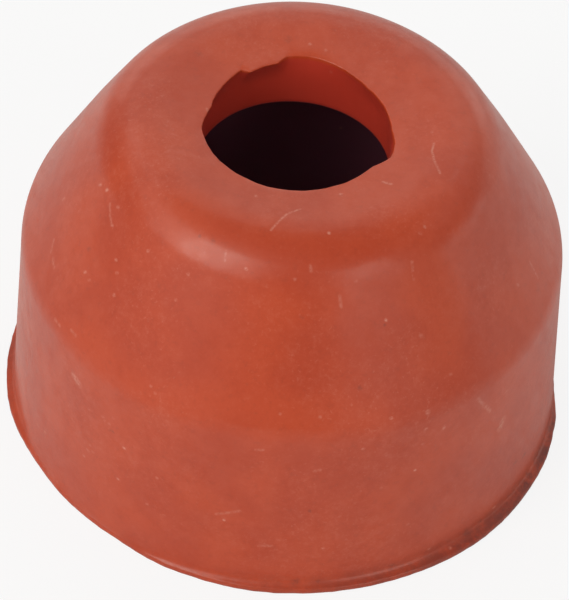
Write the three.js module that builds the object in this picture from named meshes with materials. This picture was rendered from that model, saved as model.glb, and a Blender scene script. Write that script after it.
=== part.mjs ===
// Valve stem seal, the umbrella kind: one cup moulded in red rubber. A short skirt stands on its open
// end, a cone rises from the skirt's shoulder to a rounded crown, and a bore through the crown grips the
// valve stem. Millimetres, +Z up. The origin is on the axis, in the plane of the open end.
// Angles are in degrees, counter-clockwise seen from above, with 0 along +X.
import * as THREE from 'three';

// Skirt, from the open end up to the shoulder
const skirtRadius = 11.75;
const shoulderRadius = 11.28;
const shoulderHeight = 8.98;
const shoulderBlend = 1.8;

// Cone, which bulges a little between the shoulder and the crown
const coneBulge = 0.06;
const coneBlend = 19;

// Crown: the sharp corner before it is rounded, and the top face that sinks towards the bore
const crownRadius = 7.35;
const crownHeight = 15.78;
const crownBlend = 2.9;
const boreEdgeHeight = 15.24;

// Bore through the crown
const boreTopRadius = 3.85;
const boreFootRadius = 3.95;
const boreOffset = -0.13;
const roofThickness = 2.67;

// Walls of the hollow
const skirtWall = 2;
const coneWall = 2.2;
const roofBlend = 1.2;
const innerShoulderBlend = 1.6;

// Lip of moulding flash round the open end, and the groove above it
const lipProud = 0.35;
const lipThickness = 0.3;
const grooveDepth = 0.04;
const grooveHeight = 0.6;
const grooveTop = 0.95;

// How far the flash stands out round the rim, as a share of lipProud. It is trimmed flush at the front
// left, stands out most at the front right and thins out again at the right; the back is a guess.
const lipUneven = [
  [0, 0.2], [45, 0.6], [170, 0.8], [190, 0.9], [215, 0.1], [235, -0.05],
  [250, 0.5], [270, 0.9], [290, 1], [315, 1.25], [340, 1], [350, 0.75],
];

// Ragged upper edge of the bore: how far it is torn outwards, or left standing inwards, in millimetres,
// and how deep below the edge the damage reaches
const tearDepth = 1.1;
const boreTears = [
  // The right side stands in a little
  [0, 0], [20, -0.1], [40, -0.2], [55, -0.1],
  // The back is torn outwards, and ends in a step
  [70, 0.05], [85, 0.15], [97, 0.1],
  // A web of flash stands in at the back left, and breaks off sharply
  [104, -0.25], [125, -0.4], [129, -0.1],
  // The left side stands in, and the front left hardly
  [145, -0.25], [170, -0.35], [190, -0.05], [240, -0.05],
  // The front is even, up to a notch at its right
  [260, 0], [325, 0], [337, 0.35], [348, 0.25],
];

// Fineness of the surface
const segments = 120;
const arcStep = 9;
const wallSteps = 4;

// Colour and finish of the rubber
const rubberColour = 0xb5543f;
const rubberRoughness = 0.62;

// One point of the section. lip, groove and tear say how much of each uneven feature it follows, and
// bore whether it keeps to the bore's own axis.
function station(point, follows = {}) {
  return { point, lip: 0, groove: 0, tear: 0, bore: 0, ...follows };
}

function at(radius, height) {
  return new THREE.Vector2(radius, height);
}

// Points of the arc that rounds a corner, no longer than half of either side
function roundCorner(before, corner, after, blend) {
  const toBefore = before.clone().sub(corner);
  const toAfter = after.clone().sub(corner);
  const room = Math.min(toBefore.length(), toAfter.length()) / 2;
  toBefore.normalize();
  toAfter.normalize();
  const halfAngle = Math.acos(toBefore.dot(toAfter)) / 2;
  const reach = Math.min(blend / Math.tan(halfAngle), room);
  const radius = reach * Math.tan(halfAngle);
  const middle = toBefore.clone().add(toAfter).setLength(radius / Math.sin(halfAngle)).add(corner);
  const start = toBefore.multiplyScalar(reach).add(corner).sub(middle).angle();
  const end = toAfter.multiplyScalar(reach).add(corner).sub(middle).angle();
  const turn = THREE.MathUtils.euclideanModulo(end - start + Math.PI, 2 * Math.PI) - Math.PI;
  const arc = new THREE.EllipseCurve(middle.x, middle.y, radius, radius, start, start + turn, turn < 0);
  return arc.getPoints(Math.ceil(Math.abs(THREE.MathUtils.radToDeg(turn)) / arcStep));
}

// Where the line through a and b meets the line through c and d
function crossing(a, b, c, d) {
  const along = b.clone().sub(a);
  const other = d.clone().sub(c);
  const gap = c.clone().sub(a);
  return a.clone().addScaledVector(along, gap.cross(other) / along.cross(other));
}

// The line through a and b, moved to its left by a wall's thickness
function offsetLine(a, b, wall) {
  const side = b.clone().sub(a).rotateAround(at(0, 0), Math.PI / 2).setLength(wall);
  return [a.clone().add(side), b.clone().add(side)];
}

const skirtFoot = at(skirtRadius, 0);
const shoulder = at(shoulderRadius, shoulderHeight);
const crown = at(crownRadius, crownHeight);
const boreEdge = at(boreTopRadius, boreEdgeHeight);
const roofHeight = boreEdgeHeight - roofThickness;
const boreFoot = at(boreFootRadius, roofHeight);

function skirtSurface(height) {
  return THREE.MathUtils.mapLinear(height, 0, shoulderHeight, skirtRadius, shoulderRadius);
}

// Flash lip and the groove above it
function lipStations() {
  return [
    station(skirtFoot.clone(), { lip: 1 }),
    station(at(skirtSurface(lipThickness), lipThickness), { lip: 1 }),
    station(at(skirtSurface(grooveHeight), grooveHeight), { groove: 1 }),
    station(at(skirtSurface(grooveTop), grooveTop)),
  ];
}

// Shoulder, cone and crown
function outerStations() {
  const bulge = crown.clone().sub(shoulder).rotateAround(at(0, 0), -Math.PI / 2).setLength(coneBulge);
  const coneMiddle = shoulder.clone().lerp(crown, 0.5).add(bulge);
  return [
    ...roundCorner(skirtFoot, shoulder, coneMiddle, shoulderBlend),
    ...roundCorner(shoulder, coneMiddle, crown, coneBlend),
    ...roundCorner(coneMiddle, crown, boreEdge, crownBlend),
  ].map((point) => station(point));
}

// Bore wall from its ragged edge down to the roof of the hollow
function boreStations() {
  const stations = [];
  for (let step = 0; step <= wallSteps; step++) {
    const depth = tearDepth * step / wallSteps;
    const height = boreEdgeHeight - depth;
    const radius = THREE.MathUtils.lerp(boreTopRadius, boreFootRadius, depth / roofThickness);
    const tear = (1 - step / wallSteps) ** 1.5;
    stations.push(station(at(radius, height), { tear, bore: 1 }));
  }
  stations.push(station(boreFoot.clone(), { bore: 1 }));
  return stations;
}

// Roof, inner cone and inner skirt of the hollow, down to its mouth
function hollowStations() {
  const [coneLow, coneHigh] = offsetLine(shoulder, crown, coneWall);
  const [skirtLow, skirtHigh] = offsetLine(skirtFoot, shoulder, skirtWall);
  const roofCorner = crossing(coneLow, coneHigh, boreFoot, at(0, roofHeight));
  const innerShoulder = crossing(coneLow, coneHigh, skirtLow, skirtHigh);
  const mouth = crossing(skirtLow, skirtHigh, skirtFoot, at(0, 0));
  return [
    ...roundCorner(boreFoot, roofCorner, innerShoulder, roofBlend),
    ...roundCorner(roofCorner, innerShoulder, mouth, innerShoulderBlend),
    mouth,
  ].map((point) => station(point));
}

// The entries of an angle list in order round one turn, with the last and the first repeated a turn
// away, so that every angle lies between two of them
function fullRing(entries) {
  const turned = entries.map(([angle, value]) => [THREE.MathUtils.euclideanModulo(angle, 360), value]);
  turned.sort((one, other) => one[0] - other[0]);
  const [firstAngle, firstValue] = turned[0];
  const [lastAngle, lastValue] = turned[turned.length - 1];
  return [[lastAngle - 360, lastValue], ...turned, [firstAngle + 360, firstValue]];
}

// Value at an angle from 0 to 360, between the two entries of a ring on either side of it
function roundTheTurn(ring, angle) {
  const next = ring.findIndex((entry) => entry[0] > angle);
  const [fromAngle, fromValue] = ring[next - 1];
  const [toAngle, toValue] = ring[next];
  return THREE.MathUtils.mapLinear(angle, fromAngle, toAngle, fromValue, toValue);
}

// Turn the section round the axis, then move each vertex by the uneven features that it follows
function sealGeometry() {
  const section = [...lipStations(), ...outerStations(), ...boreStations(), ...hollowStations()];
  section.push(section[0]);
  const geometry = new THREE.LatheGeometry(section.map((each) => each.point), segments);
  const positions = geometry.attributes.position;
  const lipRing = fullRing(lipUneven);
  const tearRing = fullRing(boreTears);
  for (let i = 0; i < positions.count; i++) {
    const { point, lip, groove, tear, bore } = section[i % section.length];
    const degrees = 360 * (Math.floor(i / section.length) % segments) / segments;
    const proud = roundTheTurn(lipRing, degrees);
    const torn = roundTheTurn(tearRing, degrees);
    const radius = point.x + proud * (lip * lipProud - groove * grooveDepth) + tear * torn;
    const angle = THREE.MathUtils.degToRad(degrees);
    positions.setXYZ(i, bore * boreOffset + radius * Math.cos(angle), radius * Math.sin(angle), point.y);
  }
  geometry.computeVertexNormals();
  return geometry;
}

function rubber() {
  return new THREE.MeshStandardMaterial({
    color: rubberColour,
    roughness: rubberRoughness,
    metalness: 0,
  });
}

const seal = new THREE.Mesh(sealGeometry(), rubber());
seal.name = 'valve_stem_seal';

const part = new THREE.Group();
part.add(seal);

export default part;
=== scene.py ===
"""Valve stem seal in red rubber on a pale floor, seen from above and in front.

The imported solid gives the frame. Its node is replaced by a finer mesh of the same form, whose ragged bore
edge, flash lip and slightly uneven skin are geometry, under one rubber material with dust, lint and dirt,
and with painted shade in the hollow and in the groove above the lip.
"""

import math

import bpy
from mathutils import Matrix, Vector, noise
from mathutils.bvhtree import BVHTree


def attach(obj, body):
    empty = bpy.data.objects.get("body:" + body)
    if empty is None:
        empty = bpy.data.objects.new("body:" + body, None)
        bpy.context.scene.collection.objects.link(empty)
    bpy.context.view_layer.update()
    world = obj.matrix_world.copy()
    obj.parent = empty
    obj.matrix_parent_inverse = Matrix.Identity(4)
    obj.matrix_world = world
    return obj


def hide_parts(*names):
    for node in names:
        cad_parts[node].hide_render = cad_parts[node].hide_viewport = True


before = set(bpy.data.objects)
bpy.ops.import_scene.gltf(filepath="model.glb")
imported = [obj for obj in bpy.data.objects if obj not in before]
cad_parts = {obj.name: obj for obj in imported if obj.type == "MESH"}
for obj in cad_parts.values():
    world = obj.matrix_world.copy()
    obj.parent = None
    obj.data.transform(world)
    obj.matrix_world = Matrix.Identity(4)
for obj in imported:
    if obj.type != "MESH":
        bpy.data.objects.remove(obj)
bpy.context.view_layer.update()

MM = 0.001
NODE = "valve_stem_seal"

# Section of the seal in millimetres. It is the solid's, but for the bore's place and the groove above
# the lip, which follow the photograph a little closer.
SKIRT_RADIUS = 11.75
SHOULDER = Vector((11.28, 8.98))
SHOULDER_BLEND = 1.8
CONE_BULGE = 0.06
CONE_BLEND = 19.0
CROWN = Vector((7.35, 15.78))
CROWN_BLEND = 2.9
BORE_EDGE_HEIGHT = 15.27
BORE_TOP_RADIUS = 3.85
BORE_FOOT_RADIUS = 3.95
BORE_OFFSET = -0.18
ROOF_THICKNESS = 2.67
SKIRT_WALL = 2.0
CONE_WALL = 2.2
ROOF_BLEND = 1.2
INNER_SHOULDER_BLEND = 1.6

# Flash lip round the open end and the groove above it. LIP_CORNER rounds the lip's rim, and the shelf
# between lip and groove lies at SHELF_SHARE of the way up.
LIP_PROUD = 0.35
LIP_THICKNESS = 0.3
LIP_EDGE = 0.07
LIP_CORNER = 0.3 * LIP_EDGE
SHELF_SHARE = 0.35
GROOVE_DEPTH = 0.01
GROOVE_HEIGHT = 0.48
GROOVE_TOP = 0.85
LIP_UNEVEN = (
    (0, 0.2), (45, 0.6), (170, 0.8), (190, 0.9), (215, 0.1), (235, -0.05),
    (250, 0.5), (270, 0.9), (290, 1.0), (315, 1.25), (340, 1.0), (350, 0.75),
)

# How dark the lip and the groove are painted round the rim: dirt, and painted shade in the groove above the
# lip
LIP_GRIME_AND_SHADE = (
    (0, 0.5), (30, 0.25), (150, 0.25), (178, 0.5), (192, 0.3), (206, 0.05), (250, 0.12), (270, 0.35),
    (290, 0.55), (305, 0.7), (318, 0.85), (332, 1.0), (348, 1.0),
)

# Ragged upper edge of the bore: degrees, and millimetres torn outwards or left standing inwards. Below
# the edge the damage fades out over TEAR_DEPTH, by the power TEAR_FADE.
TEAR_DEPTH = 1.1
TEAR_FADE = 1.5
BORE_BEVEL = 0.06
BORE_FOOT_ROUND = 0.15
BORE_TEARS = (
    # The right side stands in a little
    (0, 0.0), (20, -0.1), (40, -0.2), (55, -0.1),
    # The back is torn outwards, and ends in a step
    (70, 0.05), (85, 0.15), (97, 0.1),
    # A web of flash stands in at the back left, and breaks off sharply
    (104, -0.25), (125, -0.4), (129, -0.1),
    # The left side stands in, and the front left hardly
    (145, -0.25), (170, -0.35), (190, -0.05), (240, -0.05),
    # The front is even, up to a notch at its right
    (260, 0.0), (325, 0.0), (337, 0.35), (348, 0.25),
)

# Fineness of the mesh, and how uneven its skin is
TURN_STEPS = 500
ARC_STEP = math.radians(3.5)
WALL_STEPS = 14
BEVEL_ANGLES = (90, 60, 30, 0)
FOOT_ANGLES = (30, 60, 90)
STRAIGHT_STEP = 0.4
HIDDEN_STEP = 1.2
SHARP_ANGLE = math.radians(50)
SKIN_WAVE = 0.018
SKIN_WAVE_LENGTH = 4.5
EDGE_WAVE = 0.02
EDGE_WAVE_LENGTH = 0.35

# Camera, solved from the outline in the photograph
FRAME_PIXELS = (569, 600)
FOCAL_PIXELS = 3214.8
CAMERA_ELEVATION = math.radians(46.782)
CAMERA_ROLL = math.radians(3.684)
CAMERA_DISTANCE = 137.08 * MM
CAMERA_TARGET = Vector((-0.173, 0.047, 4.757)) * MM
SENSOR = 36.0
CLIP = (0.01, 10)


def round_corner(before, corner, after, blend):
    """Points of the arc that rounds a corner, no longer than half of either side."""
    to_before = before - corner
    to_after = after - corner
    room = min(to_before.length, to_after.length) / 2
    half_angle = to_before.angle(to_after) / 2
    reach = min(blend / math.tan(half_angle), room)
    radius = reach * math.tan(half_angle)
    to_before = to_before.normalized()
    to_after = to_after.normalized()
    middle = corner + (to_before + to_after).normalized() * radius / math.sin(half_angle)
    start = corner + to_before * reach - middle
    turn = math.pi - 2 * half_angle
    if start.x * to_after.y - start.y * to_after.x < 0:
        turn = -turn
    steps = max(2, math.ceil(abs(turn) / ARC_STEP))
    return [middle + Matrix.Rotation(turn * i / steps, 2) @ start for i in range(steps + 1)]


def straight(start, end, longest=STRAIGHT_STEP):
    """Points between two ends of a straight stretch, without the ends."""
    steps = max(1, math.ceil((end - start).length / longest))
    return [start.lerp(end, i / steps) for i in range(1, steps)]


def left_of(start, end, distance):
    """The line from start to end, moved to its left."""
    along = (end - start).normalized() * distance
    side = Vector((-along.y, along.x))
    return start + side, end + side


def crossing(a, b, c, d):
    """Where the line through a and b meets the line through c and d."""
    along = b - a
    other = d - c
    share = (c - a).cross(other) / along.cross(other)
    return a + along * share


def round_the_turn(entries, degrees, ease):
    """Value at an angle, between the entries on either side of it, round the full turn."""
    degrees %= 360
    ring = [(entries[-1][0] - 360, entries[-1][1]), *entries, (entries[0][0] + 360, entries[0][1])]
    for (low, before), (high, after) in zip(ring, ring[1:]):
        if low <= degrees <= high:
            share = (degrees - low) / (high - low)
            return before + (after - before) * ease(share)


def linear(share):
    return share


def smooth(share):
    return share * share * (3 - 2 * share)


def skirt_surface(height):
    """Radius of the drafted skirt at a height."""
    return SKIRT_RADIUS + (SHOULDER.x - SKIRT_RADIUS) * height / SHOULDER.y


# What a station may follow: the uneven features that move it, and the stains and painted shade that colour
# it
MOVES = ("lip", "groove", "tear", "bore", "skin")
STAINS_AND_SHADE = ("grime", "wall", "hollow")


def station(point, **follows):
    """One point of the section, and how much it follows each uneven feature, each stain and each painted
    shade.
    """
    return {"point": point, **dict.fromkeys(MOVES + STAINS_AND_SHADE, 0.0), **follows}


def lip_stations():
    """Underside edge, rim and upper face of the flash lip, and the groove above it."""
    rim = SKIRT_RADIUS
    shelf_height = LIP_THICKNESS + SHELF_SHARE * (GROOVE_HEIGHT - LIP_THICKNESS)
    shelf = Vector((skirt_surface(shelf_height), shelf_height))
    groove = Vector((skirt_surface(GROOVE_HEIGHT), GROOVE_HEIGHT))
    top = Vector((skirt_surface(GROOVE_TOP), GROOVE_TOP))
    return [
        # The darkening weights here paint dirt on the lip, and painted shade in the groove above it
        station(Vector((rim - LIP_EDGE, 0)), lip=1, grime=0.6),
        station(Vector((rim - LIP_CORNER, LIP_CORNER)), lip=1, grime=0.8),
        station(Vector((rim, LIP_EDGE)), lip=1, grime=1),
        station(Vector((rim, LIP_THICKNESS - LIP_EDGE)), lip=1, grime=1),
        station(Vector((rim - LIP_CORNER, LIP_THICKNESS - LIP_CORNER)), lip=0.95, grime=1),
        station(Vector((rim - LIP_CORNER, LIP_THICKNESS)), lip=0.75, grime=1),
        station(shelf, lip=0.42, groove=0.3, grime=0.9),
        station(groove.lerp(shelf, 0.4), lip=0.2, groove=0.7, grime=0.75),
        station(groove, lip=0.12, groove=1, grime=0.65),
        station(groove.lerp(top, 0.3), lip=0.07, groove=0.7, grime=0.55),
        station(groove.lerp(top, 0.65), lip=0.02, groove=0.2, skin=0.5, grime=0.4),
        station(top, skin=1, grime=0.15),
    ]


def outer_stations():
    """Skirt, shoulder, cone, crown and sunken top face."""
    foot = Vector((SKIRT_RADIUS, 0))
    edge = Vector((BORE_TOP_RADIUS, BORE_EDGE_HEIGHT))
    cone = (CROWN - SHOULDER).normalized()
    middle = SHOULDER.lerp(CROWN, 0.5) + Vector((cone.y, -cone.x)) * CONE_BULGE
    shoulder_arc = round_corner(foot, SHOULDER, middle, SHOULDER_BLEND)
    cone_arc = round_corner(SHOULDER, middle, CROWN, CONE_BLEND)
    crown_arc = round_corner(middle, CROWN, edge, CROWN_BLEND)
    skirt_top = Vector((skirt_surface(GROOVE_TOP), GROOVE_TOP))
    points = [
        *straight(skirt_top, shoulder_arc[0]), *shoulder_arc,
        *straight(shoulder_arc[-1], cone_arc[0]), *cone_arc,
        *straight(cone_arc[-1], crown_arc[0]), *crown_arc,
        *straight(crown_arc[-1], edge),
    ]
    return [station(point, skin=1) for point in points]


def bore_stations():
    """Bevelled, ragged edge of the bore, and its wall down to the roof of the hollow."""
    stations = []
    for degrees in BEVEL_ANGLES:
        angle = math.radians(degrees)
        inwards = BORE_BEVEL * (1 - math.cos(angle))
        down = BORE_BEVEL * (1 - math.sin(angle))
        point = Vector((BORE_TOP_RADIUS + inwards, BORE_EDGE_HEIGHT - down))
        stations.append(station(point, tear=1, bore=1))
    wall_height = ROOF_THICKNESS - BORE_BEVEL - BORE_FOOT_ROUND
    for step in range(1, WALL_STEPS + 1):
        depth = BORE_BEVEL + wall_height * step / WALL_STEPS
        radius = BORE_TOP_RADIUS + (BORE_FOOT_RADIUS - BORE_TOP_RADIUS) * depth / ROOF_THICKNESS
        tear = max(0.0, 1 - depth / TEAR_DEPTH) ** TEAR_FADE
        stations.append(station(Vector((radius, BORE_EDGE_HEIGHT - depth)), tear=tear, bore=1, wall=1))
    roof_height = BORE_EDGE_HEIGHT - ROOF_THICKNESS
    # The rounded foot of the bore fades into the hollow's painted shade
    for degrees in FOOT_ANGLES:
        angle = math.radians(degrees)
        outwards = BORE_FOOT_ROUND * (1 - math.cos(angle))
        up = BORE_FOOT_ROUND * (1 - math.sin(angle))
        point = Vector((BORE_FOOT_RADIUS + outwards, roof_height + up))
        stations.append(station(point, bore=1, wall=1, hollow=degrees / 90))
    return stations


def hollow_stations():
    """Roof, inner cone and inner skirt of the hollow, down to its mouth and the open end."""
    roof_height = BORE_EDGE_HEIGHT - ROOF_THICKNESS
    bore_foot = Vector((BORE_FOOT_RADIUS, roof_height))
    foot = Vector((SKIRT_RADIUS, 0))
    cone = left_of(SHOULDER, CROWN, CONE_WALL)
    skirt = left_of(foot, SHOULDER, SKIRT_WALL)
    roof_corner = crossing(*cone, bore_foot, Vector((0, roof_height)))
    inner_shoulder = crossing(*cone, *skirt)
    mouth = crossing(*skirt, foot, Vector((0, 0)))
    roof_arc = round_corner(bore_foot, roof_corner, inner_shoulder, ROOF_BLEND)
    shoulder_arc = round_corner(roof_corner, inner_shoulder, mouth, INNER_SHOULDER_BLEND)
    inside = [
        *straight(bore_foot, roof_arc[0], HIDDEN_STEP), *roof_arc,
        *straight(roof_arc[-1], shoulder_arc[0], HIDDEN_STEP), *shoulder_arc,
        *straight(shoulder_arc[-1], mouth, HIDDEN_STEP),
    ]
    underside = [mouth, *straight(mouth, foot - Vector((LIP_EDGE, 0)), HIDDEN_STEP)]
    # The hollow's inside takes its painted shade
    return [*(station(point, hollow=1) for point in inside), *(station(point) for point in underside)]


def section_normals(stations):
    """Outward direction of the section at each station."""
    normals = []
    for i in range(len(stations)):
        after = stations[(i + 1) % len(stations)]["point"]
        along = after - stations[i - 1]["point"]
        normals.append(Vector((along.y, -along.x)).normalized())
    return normals


def seal_vertex(each, normal, degrees):
    """Place of one vertex in millimetres."""
    angle = math.radians(degrees)
    round_part = Vector((math.cos(angle), math.sin(angle), 0))
    point = each["point"]
    place = round_part * point.x + Vector((0, 0, point.y))
    wave = noise.noise(place / SKIN_WAVE_LENGTH) * SKIN_WAVE * each["skin"]
    edge_wave = noise.noise(place / EDGE_WAVE_LENGTH) * EDGE_WAVE
    proud = round_the_turn(LIP_UNEVEN, degrees, smooth)
    torn = round_the_turn(BORE_TEARS, degrees, linear)
    outwards = normal.x * wave
    outwards += each["lip"] * (proud * LIP_PROUD + edge_wave)
    outwards -= each["groove"] * proud * GROOVE_DEPTH
    outwards += each["tear"] * (torn + edge_wave)
    place = round_part * (point.x + outwards)
    place += Vector((each["bore"] * BORE_OFFSET, 0, point.y + normal.y * wave))
    return place


def build_seal():
    """The whole seal as one closed mesh."""
    stations = [*lip_stations(), *outer_stations(), *bore_stations(), *hollow_stations()]
    normals = section_normals(stations)
    count = len(stations)
    vertices = []
    stains_and_shade = {name: [] for name in STAINS_AND_SHADE}
    for turn in range(TURN_STEPS):
        degrees = 360 * turn / TURN_STEPS
        # How much dirt and painted shade the rim has at this angle
        rim_grime_and_shade = round_the_turn(LIP_GRIME_AND_SHADE, degrees, smooth)
        for each, normal in zip(stations, normals):
            vertices.append(seal_vertex(each, normal, degrees) * MM)
            stains_and_shade["grime"].append(each["grime"] * rim_grime_and_shade)
            stains_and_shade["wall"].append(each["wall"])
            stains_and_shade["hollow"].append(each["hollow"])
    faces = []
    for turn in range(TURN_STEPS):
        here = turn * count
        beside = (turn + 1) % TURN_STEPS * count
        for i in range(count):
            after = (i + 1) % count
            faces.append((here + i, beside + i, beside + after, here + after))
    mesh = bpy.data.meshes.new("seal_skin")
    mesh.from_pydata(vertices, [], faces)
    mesh.shade_smooth()
    mesh.set_sharp_from_angle(angle=SHARP_ANGLE)
    for name, values in stains_and_shade.items():
        mesh.attributes.new(name, "FLOAT", "POINT").data.foreach_set("value", values)
    seal = bpy.data.objects.new("seal_skin", mesh)
    bpy.context.collection.objects.link(seal)
    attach(seal, "root")
    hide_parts(NODE)
    return seal


def camera_axes():
    """Right, up and forward of the photograph's camera, with its roll."""
    forward = Vector((0, math.cos(CAMERA_ELEVATION), -math.sin(CAMERA_ELEVATION)))
    level_up = Vector((0, math.sin(CAMERA_ELEVATION), math.cos(CAMERA_ELEVATION)))
    level_right = Vector((1, 0, 0))
    right = level_right * math.cos(CAMERA_ROLL) + level_up * math.sin(CAMERA_ROLL)
    up = level_up * math.cos(CAMERA_ROLL) - level_right * math.sin(CAMERA_ROLL)
    return right, up, forward


def add_camera():
    """The photograph's camera: its long side is the height of the frame."""
    right, up, forward = camera_axes()
    data = bpy.data.cameras.new("camera")
    data.sensor_fit = "VERTICAL"
    data.sensor_height = SENSOR
    data.lens = FOCAL_PIXELS * SENSOR / FRAME_PIXELS[1]
    data.clip_start, data.clip_end = CLIP
    camera = bpy.data.objects.new("camera", data)
    rotation = Matrix((right, up, -forward)).transposed().to_4x4()
    camera.matrix_world = Matrix.Translation(CAMERA_TARGET - forward * CAMERA_DISTANCE) @ rotation
    bpy.context.collection.objects.link(camera)
    bpy.context.scene.camera = camera


# How wide a mark is, as half its width in pixels of the photograph, and how strongly it shows
HAIR = 0.8
FINE = 1.1
BROAD = 1.5
SMEAR = 2.8
FAINT = 0.3
PLAIN = 0.5
CLEAR = 0.75

# Hairs, scratches and smears, each through some pixels of the photograph
STROKES = (
    (((271, 230), (279, 221), (287, 214), (300, 209)), HAIR, PLAIN),
    (((434, 143), (432, 151), (434, 160), (440, 173)), HAIR, PLAIN),
    (((412, 262), (413, 270), (414, 279)), FINE, FAINT),
    (((530, 262), (534, 270), (538, 278)), HAIR, FAINT),
    (((110, 204), (110, 216), (112, 227)), FINE, FAINT),
    (((54, 240), (51, 252)), FINE, FAINT),
    (((53, 259), (54, 267)), BROAD, FAINT),
    (((74, 376), (79, 384)), SMEAR, PLAIN),
    (((503, 420), (500, 428)), SMEAR, PLAIN),
    (((216, 514), (240, 511)), FINE, FAINT),
    (((259, 546), (272, 546)), FINE, FAINT),
    (((383, 182), (391, 184)), FINE, PLAIN),
    (((478, 399), (484, 405), (490, 411)), BROAD, FAINT),
    (((340, 296), (341, 307)), FINE, FAINT),
    (((226, 251), (225, 261)), HAIR, FAINT),
    (((55, 319), (60, 326)), FINE, FAINT),
    (((71, 330), (76, 336)), FINE, FAINT),
    (((314, 471), (320, 470)), FINE, FAINT),
    (((256, 450), (263, 450)), FINE, FAINT),
    (((310, 266), (311, 271)), FINE, FAINT),
    (((207, 109), (208, 112)), FINE, FAINT),
)

# Specks of dust: where in the photograph, size and strength
SPECKS = (
    (100, 185, FINE, CLEAR), (107, 190, FINE, CLEAR), (64, 199, FINE, PLAIN), (112, 225, FINE, CLEAR),
    (118, 207, FINE, PLAIN), (148, 251, FINE, PLAIN), (116, 260, FINE, PLAIN), (85, 272, FINE, CLEAR),
    (117, 273, FINE, PLAIN), (114, 295, FINE, PLAIN), (188, 274, FINE, PLAIN), (176, 300, FINE, FAINT),
    (89, 280, FINE, FAINT), (329, 233, FINE, CLEAR), (246, 269, FINE, CLEAR), (295, 279, FINE, FAINT),
    (386, 320, FINE, CLEAR), (356, 281, FINE, FAINT), (421, 336, BROAD, FAINT), (428, 412, BROAD, CLEAR),
    (391, 418, FINE, CLEAR), (426, 429, FINE, PLAIN), (444, 428, FINE, PLAIN), (320, 417, FINE, FAINT),
    (451, 374, FINE, FAINT), (415, 470, FINE, CLEAR), (507, 391, FINE, FAINT), (494, 507, FINE, PLAIN),
    (450, 548, FINE, PLAIN), (429, 549, FINE, PLAIN), (423, 444, FINE, FAINT), (363, 449, FINE, PLAIN),
    (224, 520, FINE, CLEAR), (157, 478, FINE, PLAIN), (323, 548, FINE, CLEAR), (381, 488, FINE, FAINT),
    (408, 524, FINE, FAINT), (105, 421, FINE, PLAIN), (124, 448, FINE, CLEAR), (88, 450, FINE, PLAIN),
    (118, 479, FINE, PLAIN), (341, 128, FINE, PLAIN), (425, 227, FINE, PLAIN), (420, 233, FINE, FAINT),
    (432, 132, FINE, PLAIN), (331, 72, FINE, PLAIN), (310, 44, FINE, PLAIN), (326, 50, FINE, FAINT),
    (280, 414, FINE, FAINT), (518, 285, FINE, FAINT), (256, 196, FINE, PLAIN), (341, 194, FINE, CLEAR),
    (103, 417, FINE, FAINT), (109, 424, FINE, FAINT), (113, 418, FINE, FAINT), (150, 390, FINE, FAINT),
    (155, 393, FINE, FAINT), (151, 386, FINE, FAINT), (84, 456, FINE, FAINT), (93, 452, FINE, FAINT),
    (90, 445, FINE, FAINT), (38, 425, FINE, FAINT), (45, 432, FINE, FAINT), (147, 504, FINE, FAINT),
)

# Dark flecks, in the same form
FLECKS = (
    (288, 39, SMEAR, FAINT), (198, 54, SMEAR, FAINT), (112, 431, BROAD, PLAIN), (89, 249, BROAD, FAINT),
    (360, 388, BROAD, PLAIN), (302, 317, BROAD, FAINT), (310, 511, BROAD, PLAIN), (385, 325, FINE, PLAIN),
    (524, 455, BROAD, PLAIN), (515, 463, BROAD, PLAIN), (213, 242, BROAD, PLAIN), (200, 236, FINE, PLAIN),
    (530, 475, SMEAR, CLEAR), (526, 484, SMEAR, CLEAR), (507, 504, BROAD, PLAIN), (480, 521, BROAD, PLAIN),
    (296, 582, SMEAR, PLAIN), (318, 581, BROAD, PLAIN), (392, 567, SMEAR, PLAIN), (467, 533, SMEAR, PLAIN),
)

# Colours of the rubber, of what lies on it and of the painted shade, in linear light
RUBBER = (0.58, 0.063, 0.012, 1)
RUBBER_DEEP = (0.52, 0.051, 0.009, 1)
DUST = (0.72, 0.28, 0.2, 1)
# Dark colour of dirt and flecks, also used as painted shade on the lip and in the groove
GRIME_AND_SHADE = (0.09, 0.024, 0.02, 1)
BORE_WALL = (0.58, 0.048, 0.026, 1)
# Painted shade: a darker, purplish rubber for the inside of the hollow and the foot of the bore
HOLLOW_SHADE = (0.27, 0.08, 0.13, 1)
RUBBER_ROUGHNESS = 0.42

# How far the cloudy bloom and the powder on the skin go towards dust or grime
BLOOM = 0.12
POWDER = 0.18

# How far the dirt and painted shade on the rim and the dark flecks show
GRIME_AND_SHADE_SHOWS = 0.75
FLECK_SHOWS = 0.7

# Fineness of the noise in each layer, per millimetre
MOTTLE_SCALE = 0.35
SPECKLE_SCALE = 3.0
DUSTY_SCALE = 0.25
POWDER_SCALE = 7.0
PATCH_SCALE = 1.1
SMEAR_SCALE = 1.4
GRAIN_SCALE = 14.0

# The grain: how much it changes the roughness, and its bump, with the height in millimetres
GRAIN_ROUGHNESS = 0.12
GRAIN_STRENGTH = 0.25
GRAIN_HEIGHT = 0.01

# The moulded skin also has a faint, sharper gloss
SKIN_GLOSS = 0.32
SKIN_ROUGHNESS = 0.18

# Size of a pixel of the photograph on the seal, and the length that stands for a point, in millimetres
PIXEL_SIZE = CAMERA_DISTANCE / MM / FOCAL_PIXELS
SPOT_LENGTH = 0.002

# How a mark fades, counted in its reach: full inside the core, gone past the fade, with a ragged edge.
# The two scales are of the noise that makes it ragged and breaks it up, per millimetre.
MARK_CORE = 0.1
MARK_FADE = 2.4
MARK_RAGGED = 0.6
RAGGED_SCALE = 22.0
BROKEN_SCALE = 7.0


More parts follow.
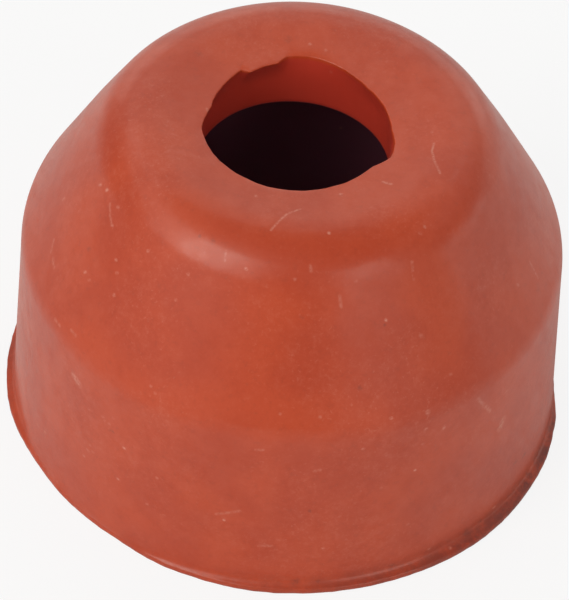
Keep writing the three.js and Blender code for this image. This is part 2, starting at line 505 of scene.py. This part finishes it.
def under_pixel(pixel, skin):
    """The point of the skin that the camera sees at a pixel of the photograph, in metres."""
    right, up, forward = camera_axes()
    eye = CAMERA_TARGET - forward * CAMERA_DISTANCE
    across = (pixel[0] - FRAME_PIXELS[0] / 2) / FOCAL_PIXELS
    down = (pixel[1] - FRAME_PIXELS[1] / 2) / FOCAL_PIXELS
    return skin.ray_cast(eye, (right * across - up * down + forward).normalized())[0]


class Tree:
    """Adds and links the nodes of one shader tree."""

    def __init__(self, tree):
        self.tree = tree

    def node(self, kind, **settings):
        made = self.tree.nodes.new(kind)
        for name, value in settings.items():
            setattr(made, name, value)
        return made

    def feed(self, socket, value):
        """Links value to a socket, or writes it there if it is a plain number or colour."""
        if isinstance(value, bpy.types.NodeSocket):
            self.tree.links.new(value, socket)
        else:
            socket.default_value = value

    def math(self, operation, first, second=0.0):
        made = self.node("ShaderNodeMath", operation=operation)
        self.feed(made.inputs[0], first)
        self.feed(made.inputs[1], second)
        return made.outputs[0]

    def ramp(self, value, low, high, to_low=0.0, to_high=1.0):
        """Smooth step of value between low and high."""
        made = self.node("ShaderNodeMapRange", interpolation_type="SMOOTHSTEP")
        for socket, number in zip(made.inputs, (value, low, high, to_low, to_high)):
            self.feed(socket, number)
        return made.outputs[0]

    def mix(self, share, first, second):
        """Blend of two colours."""
        made = self.node("ShaderNodeMix", data_type="RGBA")
        for i, value in ((0, share), (6, first), (7, second)):
            self.feed(made.inputs[i], value)
        return made.outputs[2]

    def noise(self, place, scale, detail=2.0, roughness=0.5):
        made = self.node("ShaderNodeTexNoise")
        self.feed(made.inputs["Vector"], place)
        self.feed(made.inputs["Scale"], scale)
        self.feed(made.inputs["Detail"], detail)
        self.feed(made.inputs["Roughness"], roughness)
        return made.outputs["Fac"]


def place_in_mm(tree):
    """Object coordinates in millimetres."""
    coordinates = tree.node("ShaderNodeTexCoord")
    scaled = tree.node("ShaderNodeVectorMath", operation="SCALE")
    tree.feed(scaled.inputs[0], coordinates.outputs["Object"])
    tree.feed(scaled.inputs["Scale"], 1 / MM)
    return scaled.outputs[0]


def attribute(tree, name, output="Fac"):
    """A value that the mesh holds under a name."""
    return tree.node("ShaderNodeAttribute", attribute_name=name).outputs[output]


def stroke_stretches(skin):
    """Straight stretches of all strokes, in millimetres."""
    stretches = []
    for pixels, half_width, strength in STROKES:
        points = [under_pixel(pixel, skin) / MM for pixel in pixels]
        for start, end in zip(points, points[1:]):
            stretches.append((start, end, half_width * PIXEL_SIZE, strength))
    return stretches


def spot_stretches(spots, skin):
    """Round spots, each as a very short stretch, in millimetres."""
    stretches = []
    for across, down, radius, strength in spots:
        centre = under_pixel((across, down), skin) / MM
        stretches.append((centre, centre + Vector((SPOT_LENGTH, 0, 0)), radius * PIXEL_SIZE, strength))
    return stretches


def faces_near(start, end, reach, skin):
    """The faces that a stretch touches within its reach, each with its distance from it."""
    near = {}
    steps = 1 + int((end - start).length / reach)
    for i in range(steps + 1):
        place = start.lerp(end, i / steps)
        for _, _, face, distance in skin.find_nearest_range(place * MM, MARK_FADE * reach * MM):
            near[face] = min(distance, near.get(face, distance))
    return near


def lay_marks(mesh, skin, name, stretches):
    """Notes at the corners of the faces near a mark where they lie from it, in its own directions and
    counted in its reach, so that a mark may be finer than the mesh. Elsewhere its strength is 0."""
    offsets = [0.0] * 3 * len(mesh.loops)
    strengths = [0.0] * len(mesh.loops)
    closest = {}
    for start, end, reach, strength in stretches:
        middle = (start + end) / 2
        along = (end - start).normalized()
        normal = skin.find_nearest(middle * MM)[1]
        across = normal.cross(along).normalized()
        half_length = (end - start).length / 2 / reach
        for face, distance in faces_near(start, end, reach, skin).items():
            if distance >= closest.get(face, math.inf):
                continue
            closest[face] = distance
            for loop in mesh.polygons[face].loop_indices:
                offset = mesh.vertices[mesh.loops[loop].vertex_index].co / MM - middle
                sideways = offset.dot(across) / reach
                lengthways = offset.dot(along) / reach
                offsets[3 * loop:3 * loop + 3] = sideways, lengthways, half_length
                strengths[loop] = strength
    mesh.attributes.new(name + "_offset", "FLOAT_VECTOR", "CORNER").data.foreach_set("vector", offsets)
    mesh.attributes.new(name + "_strength", "FLOAT", "CORNER").data.foreach_set("value", strengths)


def marks(tree, place, name):
    """How strongly the marks of one kind show: full within reach of their middle line, fading outside."""
    split = tree.node("ShaderNodeSeparateXYZ")
    tree.feed(split.inputs[0], attribute(tree, name + "_offset", "Vector"))
    across, along, half_length = split.outputs
    past_end = tree.math("MAXIMUM", tree.math("SUBTRACT", tree.math("ABSOLUTE", along), half_length), 0.0)
    across_squared = tree.math("MULTIPLY", across, across)
    past_end_squared = tree.math("MULTIPLY", past_end, past_end)
    away = tree.math("SQRT", tree.math("ADD", across_squared, past_end_squared))
    ragged = tree.math("MULTIPLY", tree.noise(place, RAGGED_SCALE), MARK_RAGGED)
    distance = tree.math("ADD", away, ragged)
    near = tree.ramp(distance, MARK_FADE + 0.5 * MARK_RAGGED, MARK_CORE + 0.5 * MARK_RAGGED)
    broken = tree.ramp(tree.noise(place, BROKEN_SCALE, 3.0, 0.6), 0.38, 0.58, 0.3, 1.1)
    return tree.math("MULTIPLY", tree.math("MULTIPLY", near, broken), attribute(tree, name + "_strength"))


def skin_colour(tree, place):
    """Mottled rubber under a cloudy bloom and a fine powder."""
    mottle = tree.noise(place, MOTTLE_SCALE, 3.0, 0.5)
    colour = tree.mix(tree.ramp(mottle, 0.35, 0.65), RUBBER_DEEP, RUBBER)
    speckle = tree.noise(place, SPECKLE_SCALE, 4.0, 0.8)
    dusty = tree.ramp(tree.noise(place, DUSTY_SCALE, 2.0), 0.4, 0.62, 0.35, 1.0)
    bloom = tree.math("MULTIPLY", tree.ramp(speckle, 0.45, 0.75, 0.0, BLOOM), dusty)
    colour = tree.mix(bloom, colour, DUST)
    powder = tree.ramp(tree.noise(place, POWDER_SCALE, 3.0, 0.6), 0.56, 0.76, 0.0, POWDER)
    colour = tree.mix(tree.math("MULTIPLY", powder, dusty), colour, DUST)
    return tree.mix(tree.ramp(speckle, 0.5, 0.25, 0.0, BLOOM), colour, GRIME_AND_SHADE)


def stained_and_shaded_colour(tree, place, colour):
    """The skin's colour with the bore wall, the painted shade of the hollow, the dirt and painted shade on
    the rim, and the marks on it.
    """
    colour = tree.mix(attribute(tree, "wall"), colour, BORE_WALL)
    # Painted shade inside the hollow
    colour = tree.mix(attribute(tree, "hollow"), colour, HOLLOW_SHADE)
    # Dirt and painted shade on the lip and in the groove, broken into patches
    patches = tree.ramp(tree.noise(place, PATCH_SCALE, 5.0, 0.75), 0.34, 0.62, 0.3, 1.0)
    grime = tree.math("MULTIPLY", attribute(tree, "grime"), patches)
    colour = tree.mix(tree.math("MULTIPLY", grime, GRIME_AND_SHADE_SHOWS), colour, GRIME_AND_SHADE)
    flecks = tree.math("MULTIPLY", marks(tree, place, "fleck"), FLECK_SHOWS)
    colour = tree.mix(flecks, colour, GRIME_AND_SHADE)
    return tree.mix(marks(tree, place, "dust"), colour, DUST)


def rubber_material():
    """Moulded red rubber: a stained, dusty colour with painted shade in the hollow and the groove, an
    uneven sheen and a fine grain.
    """
    material = bpy.data.materials.new("red_rubber")
    material.use_nodes = True
    material.node_tree.nodes.clear()
    tree = Tree(material.node_tree)
    place = place_in_mm(tree)

    grain = tree.noise(place, GRAIN_SCALE, 3.0, 0.6)
    uneven = tree.math("MULTIPLY", grain, GRAIN_ROUGHNESS)
    bump = tree.node("ShaderNodeBump")
    tree.feed(bump.inputs["Height"], grain)
    tree.feed(bump.inputs["Strength"], GRAIN_STRENGTH)
    tree.feed(bump.inputs["Distance"], GRAIN_HEIGHT * MM)

    shader = tree.node("ShaderNodeBsdfPrincipled")
    tree.feed(shader.inputs["Base Color"], stained_and_shaded_colour(tree, place, skin_colour(tree, place)))
    tree.feed(shader.inputs["Roughness"], tree.math("ADD", uneven, RUBBER_ROUGHNESS - GRAIN_ROUGHNESS / 2))
    tree.feed(shader.inputs["Normal"], bump.outputs[0])
    smears = tree.ramp(tree.noise(place, SMEAR_SCALE, 6.0, 0.8), 0.35, 0.65, 0.6, 1.4)
    tree.feed(shader.inputs["Coat Weight"], tree.math("MULTIPLY", smears, SKIN_GLOSS))
    shader.inputs["Coat Roughness"].default_value = SKIN_ROUGHNESS
    output = tree.node("ShaderNodeOutputMaterial")
    tree.feed(output.inputs[0], shader.outputs[0])
    return material


# Softboxes: name, bearing in degrees counter-clockwise from +X, elevation in degrees, distance, width
# and height in metres, and power in watts. No lamp stands straight in front or overhead.
SOFTBOXES = (
    ("key_left", -160, 38, 0.4, 0.17, 0.26, 0.16),
    ("key_middle", -138, 38, 0.4, 0.15, 0.26, 0.47),
    ("key_right", -117, 38, 0.4, 0.12, 0.24, 0.12),
    ("key_low", -140, 8, 0.4, 0.42, 0.1, 0.03),
    ("strip_high", -50, 35, 0.4, 0.18, 0.12, 0.13),
    ("strip_middle", -50, 20, 0.4, 0.24, 0.1, 0.1),
    ("strip_low", -50, 7, 0.4, 0.24, 0.09, 0.02),
    ("right_edge", 6, 4, 0.4, 0.26, 0.11, 0.09),
    ("right_low", 45, 8, 0.4, 0.25, 0.12, 0.05),
    ("right_high", 25, 42, 0.4, 0.3, 0.15, 0.05),
    ("back_high", 90, 47, 0.4, 0.5, 0.25, 0.26),
    ("back_low", 90, 12, 0.4, 0.6, 0.16, 0.25),
    ("left_high", 155, 45, 0.4, 0.3, 0.15, 0.11),
)
LAMP_COLOUR = (1, 0.97, 0.9)

# Strength of the plain light from all round
FILL = 0.25

# The floor's colour, and how far the camera sees it lifted towards white
FLOOR = (0.88, 0.88, 0.88, 1)
FLOOR_LIFT = 0.85

# How far the floor reaches from the axis, in metres
FLOOR_REACH = 1.5

# The floor lies this many millimetres below the open end, so that the two faces don't share a plane
FLOOR_GAP = 0.01


def add_softbox(name, azimuth, elevation, distance, width, height, power):
    """A rectangular lamp that faces the seal."""
    data = bpy.data.lights.new(name, "AREA")
    data.shape = "RECTANGLE"
    data.size = width
    data.size_y = height
    data.energy = power
    data.color = LAMP_COLOUR
    lamp = bpy.data.objects.new(name, data)
    azimuth = math.radians(azimuth)
    elevation = math.radians(elevation)
    aim = Vector((0, 0, 0.5 * BORE_EDGE_HEIGHT * MM))
    away = Vector((
        math.cos(elevation) * math.cos(azimuth),
        math.cos(elevation) * math.sin(azimuth),
        math.sin(elevation),
    ))
    lamp.location = aim + away * distance
    lamp.rotation_euler = away.to_track_quat("Z", "Y").to_euler()
    bpy.context.collection.objects.link(lamp)
    return lamp


def add_world():
    """White to the camera, and a plain soft fill to everything else."""
    world = bpy.data.worlds.new("studio")
    world.use_nodes = True
    world.node_tree.nodes.clear()
    tree = Tree(world.node_tree)
    path = tree.node("ShaderNodeLightPath")
    fill = tree.node("ShaderNodeBackground")
    tree.feed(fill.inputs["Color"], (1, 1, 1, 1))
    tree.feed(fill.inputs["Strength"], FILL)
    white = tree.node("ShaderNodeBackground")
    tree.feed(white.inputs["Color"], (1, 1, 1, 1))
    tree.feed(white.inputs["Strength"], 1.0)
    mixed = tree.node("ShaderNodeMixShader")
    tree.feed(mixed.inputs[0], path.outputs["Is Camera Ray"])
    tree.feed(mixed.inputs[1], fill.outputs[0])
    tree.feed(mixed.inputs[2], white.outputs[0])
    output = tree.node("ShaderNodeOutputWorld")
    tree.feed(output.inputs[0], mixed.outputs[0])
    bpy.context.scene.world = world


def add_floor():
    """A pale floor at the foot of the seal, lifted towards white for the camera."""
    height = -FLOOR_GAP * MM
    mesh = bpy.data.meshes.new("floor")
    sides = ((-1, -1), (1, -1), (1, 1), (-1, 1))
    corners = [(FLOOR_REACH * x, FLOOR_REACH * y, height) for x, y in sides]
    mesh.from_pydata(corners, [], [(0, 1, 2, 3)])
    floor = bpy.data.objects.new("floor", mesh)
    bpy.context.collection.objects.link(floor)
    material = bpy.data.materials.new("floor")
    material.use_nodes = True
    material.node_tree.nodes.clear()
    tree = Tree(material.node_tree)
    path = tree.node("ShaderNodeLightPath")
    matt = tree.node("ShaderNodeBsdfDiffuse")
    tree.feed(matt.inputs["Color"], FLOOR)
    white = tree.node("ShaderNodeEmission")
    tree.feed(white.inputs["Strength"], 1.0)
    mixed = tree.node("ShaderNodeMixShader")
    tree.feed(mixed.inputs[0], tree.math("MULTIPLY", path.outputs["Is Camera Ray"], FLOOR_LIFT))
    tree.feed(mixed.inputs[1], matt.outputs[0])
    tree.feed(mixed.inputs[2], white.outputs[0])
    output = tree.node("ShaderNodeOutputMaterial")
    tree.feed(output.inputs[0], mixed.outputs[0])
    mesh.materials.append(material)


add_camera()
seal = build_seal()
skin = BVHTree.FromObject(seal, bpy.context.evaluated_depsgraph_get())
lay_marks(seal.data, skin, "dust", [*stroke_stretches(skin), *spot_stretches(SPECKS, skin)])
lay_marks(seal.data, skin, "fleck", spot_stretches(FLECKS, skin))
seal.data.materials.append(rubber_material())
add_floor()
for softbox in SOFTBOXES:
    add_softbox(*softbox)
add_world()
bpy.context.scene.view_settings.view_transform = "Standard"
